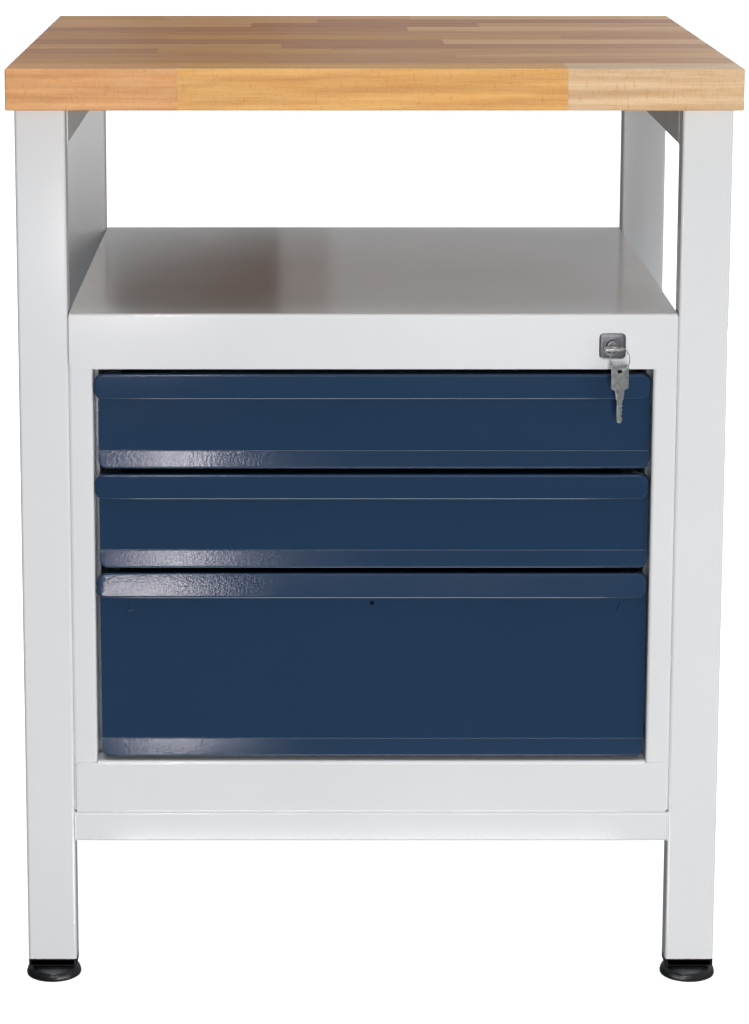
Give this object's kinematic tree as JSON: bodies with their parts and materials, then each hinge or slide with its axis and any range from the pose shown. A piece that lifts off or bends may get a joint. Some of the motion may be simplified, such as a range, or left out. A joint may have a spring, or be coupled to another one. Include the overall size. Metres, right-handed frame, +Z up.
{
  "type": "workbench with drawers",
  "caption": "Narrow workbench: beech worktop on a welded steel frame with levelling feet, an open shelf, and a lockable cabinet of full-width drawers below.",
  "frame": {"origin": "on the floor under the centre of the worktop", "axes": "+X to the right seen from the front, +Y from the drawer fronts towards the back, +Z up"},
  "size_m": [0.7, 0.65, 0.92],
  "materials": {
    "beech": "oiled beech staves glued side by side",
    "grey_paint": "light grey powder coat, satin gloss with fine orange peel",
    "blue_paint": "deep blue powder coat, glossy with orange peel",
    "zinc_steel": "zinc-plated sheet steel",
    "lock_metal": "satin nickel die casting",
    "key_metal": "nickel-plated steel, worn",
    "black_plastic": "moulded black plastic, slight gloss"
  },
  "bodies": {
    "frame": {"worktop": "beech", "leg_front_left": "grey_paint", "leg_front_right": "grey_paint", "leg_rear_left": "grey_paint", "leg_rear_right": "grey_paint", "top_rail_left": "grey_paint", "top_rail_right": "grey_paint", "top_rail_rear": "grey_paint", "base_rail_front": "grey_paint", "base_rail_rear": "grey_paint", "base_rail_left": "grey_paint", "base_rail_right": "grey_paint", "cabinet_top": "grey_paint", "cabinet_bottom": "grey_paint", "cabinet_side_left": "grey_paint", "cabinet_side_right": "grey_paint", "cabinet_back": "grey_paint", "foot_insert_front_left": "black_plastic", "foot_insert_front_right": "black_plastic", "foot_insert_rear_left": "black_plastic", "foot_insert_rear_right": "black_plastic", "slide_post_front_left": "zinc_steel", "slide_post_front_right": "zinc_steel", "slide_post_rear_left": "zinc_steel", "slide_post_rear_right": "zinc_steel", "slide_outer_1_left": "zinc_steel", "slide_outer_1_right": "zinc_steel", "slide_outer_2_left": "zinc_steel", "slide_outer_2_right": "zinc_steel", "slide_outer_3_left": "zinc_steel", "slide_outer_3_right": "zinc_steel", "lock_housing": "lock_metal"},
    "drawer_1": {"drawer_front_1": "blue_paint", "drawer_tray_1": "blue_paint", "slide_inner_1_left": "zinc_steel", "slide_inner_1_right": "zinc_steel"},
    "runner_1": {"slide_middle_1_left": "zinc_steel", "slide_middle_1_right": "zinc_steel"},
    "drawer_2": {"drawer_front_2": "blue_paint", "drawer_tray_2": "blue_paint", "slide_inner_2_left": "zinc_steel", "slide_inner_2_right": "zinc_steel"},
    "runner_2": {"slide_middle_2_left": "zinc_steel", "slide_middle_2_right": "zinc_steel"},
    "drawer_3": {"drawer_front_3": "blue_paint", "drawer_tray_3": "blue_paint", "slide_inner_3_left": "zinc_steel", "slide_inner_3_right": "zinc_steel"},
    "runner_3": {"slide_middle_3_left": "zinc_steel", "slide_middle_3_right": "zinc_steel"},
    "lock_cylinder": {"lock_core": "lock_metal", "lock_cam": "zinc_steel", "key": "key_metal"},
    "lock_bar": {"lock_bar": "zinc_steel"},
    "key_ring": {"key_ring": "key_metal"},
    "spare_key": {"spare_key": "key_metal"},
    "foot_front_left": {"levelling_foot_front_left": "black_plastic"},
    "foot_front_right": {"levelling_foot_front_right": "black_plastic"},
    "foot_rear_left": {"levelling_foot_rear_left": "black_plastic"},
    "foot_rear_right": {"levelling_foot_rear_right": "black_plastic"}
  },
  "joints": [
    {"name": "drawer_1_slide", "type": "slide", "parent": "frame", "child": "drawer_1", "axis": [0, -1, 0], "range_m": [0, 0.45]},
    {"name": "runner_1_slide", "type": "slide", "parent": "frame", "child": "runner_1", "axis": [0, -1, 0], "range_m": [0, 0.225]},
    {"name": "drawer_2_slide", "type": "slide", "parent": "frame", "child": "drawer_2", "axis": [0, -1, 0], "range_m": [0, 0.45]},
    {"name": "runner_2_slide", "type": "slide", "parent": "frame", "child": "runner_2", "axis": [0, -1, 0], "range_m": [0, 0.225]},
    {"name": "drawer_3_slide", "type": "slide", "parent": "frame", "child": "drawer_3", "axis": [0, -1, 0], "range_m": [0, 0.45]},
    {"name": "runner_3_slide", "type": "slide", "parent": "frame", "child": "runner_3", "axis": [0, -1, 0], "range_m": [0, 0.225]},
    {"name": "lock_turn", "type": "hinge", "parent": "frame", "child": "lock_cylinder", "pos_m": [0.2322, -0.295, 0.648], "axis": [0, 1, 0], "range_deg": [0, 90]},
    {"name": "lock_bar_lift", "type": "slide", "parent": "frame", "child": "lock_bar", "axis": [0, 0, 1], "range_m": [0, 0.0141]},
    {"name": "key_ring_swing", "type": "hinge", "parent": "frame", "child": "key_ring", "pos_m": [0.23786, -0.312, 0.648], "axis": [0, 1, 0], "range_deg": [-3, 6]},
    {"name": "spare_key_swing", "type": "hinge", "parent": "key_ring", "child": "spare_key", "pos_m": [0.23786, -0.31624, 0.62857], "axis": [-0.8, 0.6, 0], "range_deg": [-12, 70]},
    {"name": "foot_front_left_screw", "type": "slide", "parent": "frame", "child": "foot_front_left", "axis": [0, 0, -1], "range_m": [0, 0.015]},
    {"name": "foot_front_right_screw", "type": "slide", "parent": "frame", "child": "foot_front_right", "axis": [0, 0, -1], "range_m": [0, 0.015]},
    {"name": "foot_rear_left_screw", "type": "slide", "parent": "frame", "child": "foot_rear_left", "axis": [0, 0, -1], "range_m": [0, 0.015]},
    {"name": "foot_rear_right_screw", "type": "slide", "parent": "frame", "child": "foot_rear_right", "axis": [0, 0, -1], "range_m": [0, 0.015]}
  ],
  "couplings": [
    {"joint": "runner_1_slide", "follows": "drawer_1_slide", "ratio": 0.5},
    {"joint": "runner_2_slide", "follows": "drawer_2_slide", "ratio": 0.5},
    {"joint": "runner_3_slide", "follows": "drawer_3_slide", "ratio": 0.5},
    {"joint": "lock_turn", "follows": "lock_bar_lift", "rad_per_m": 111.1}
  ]
}
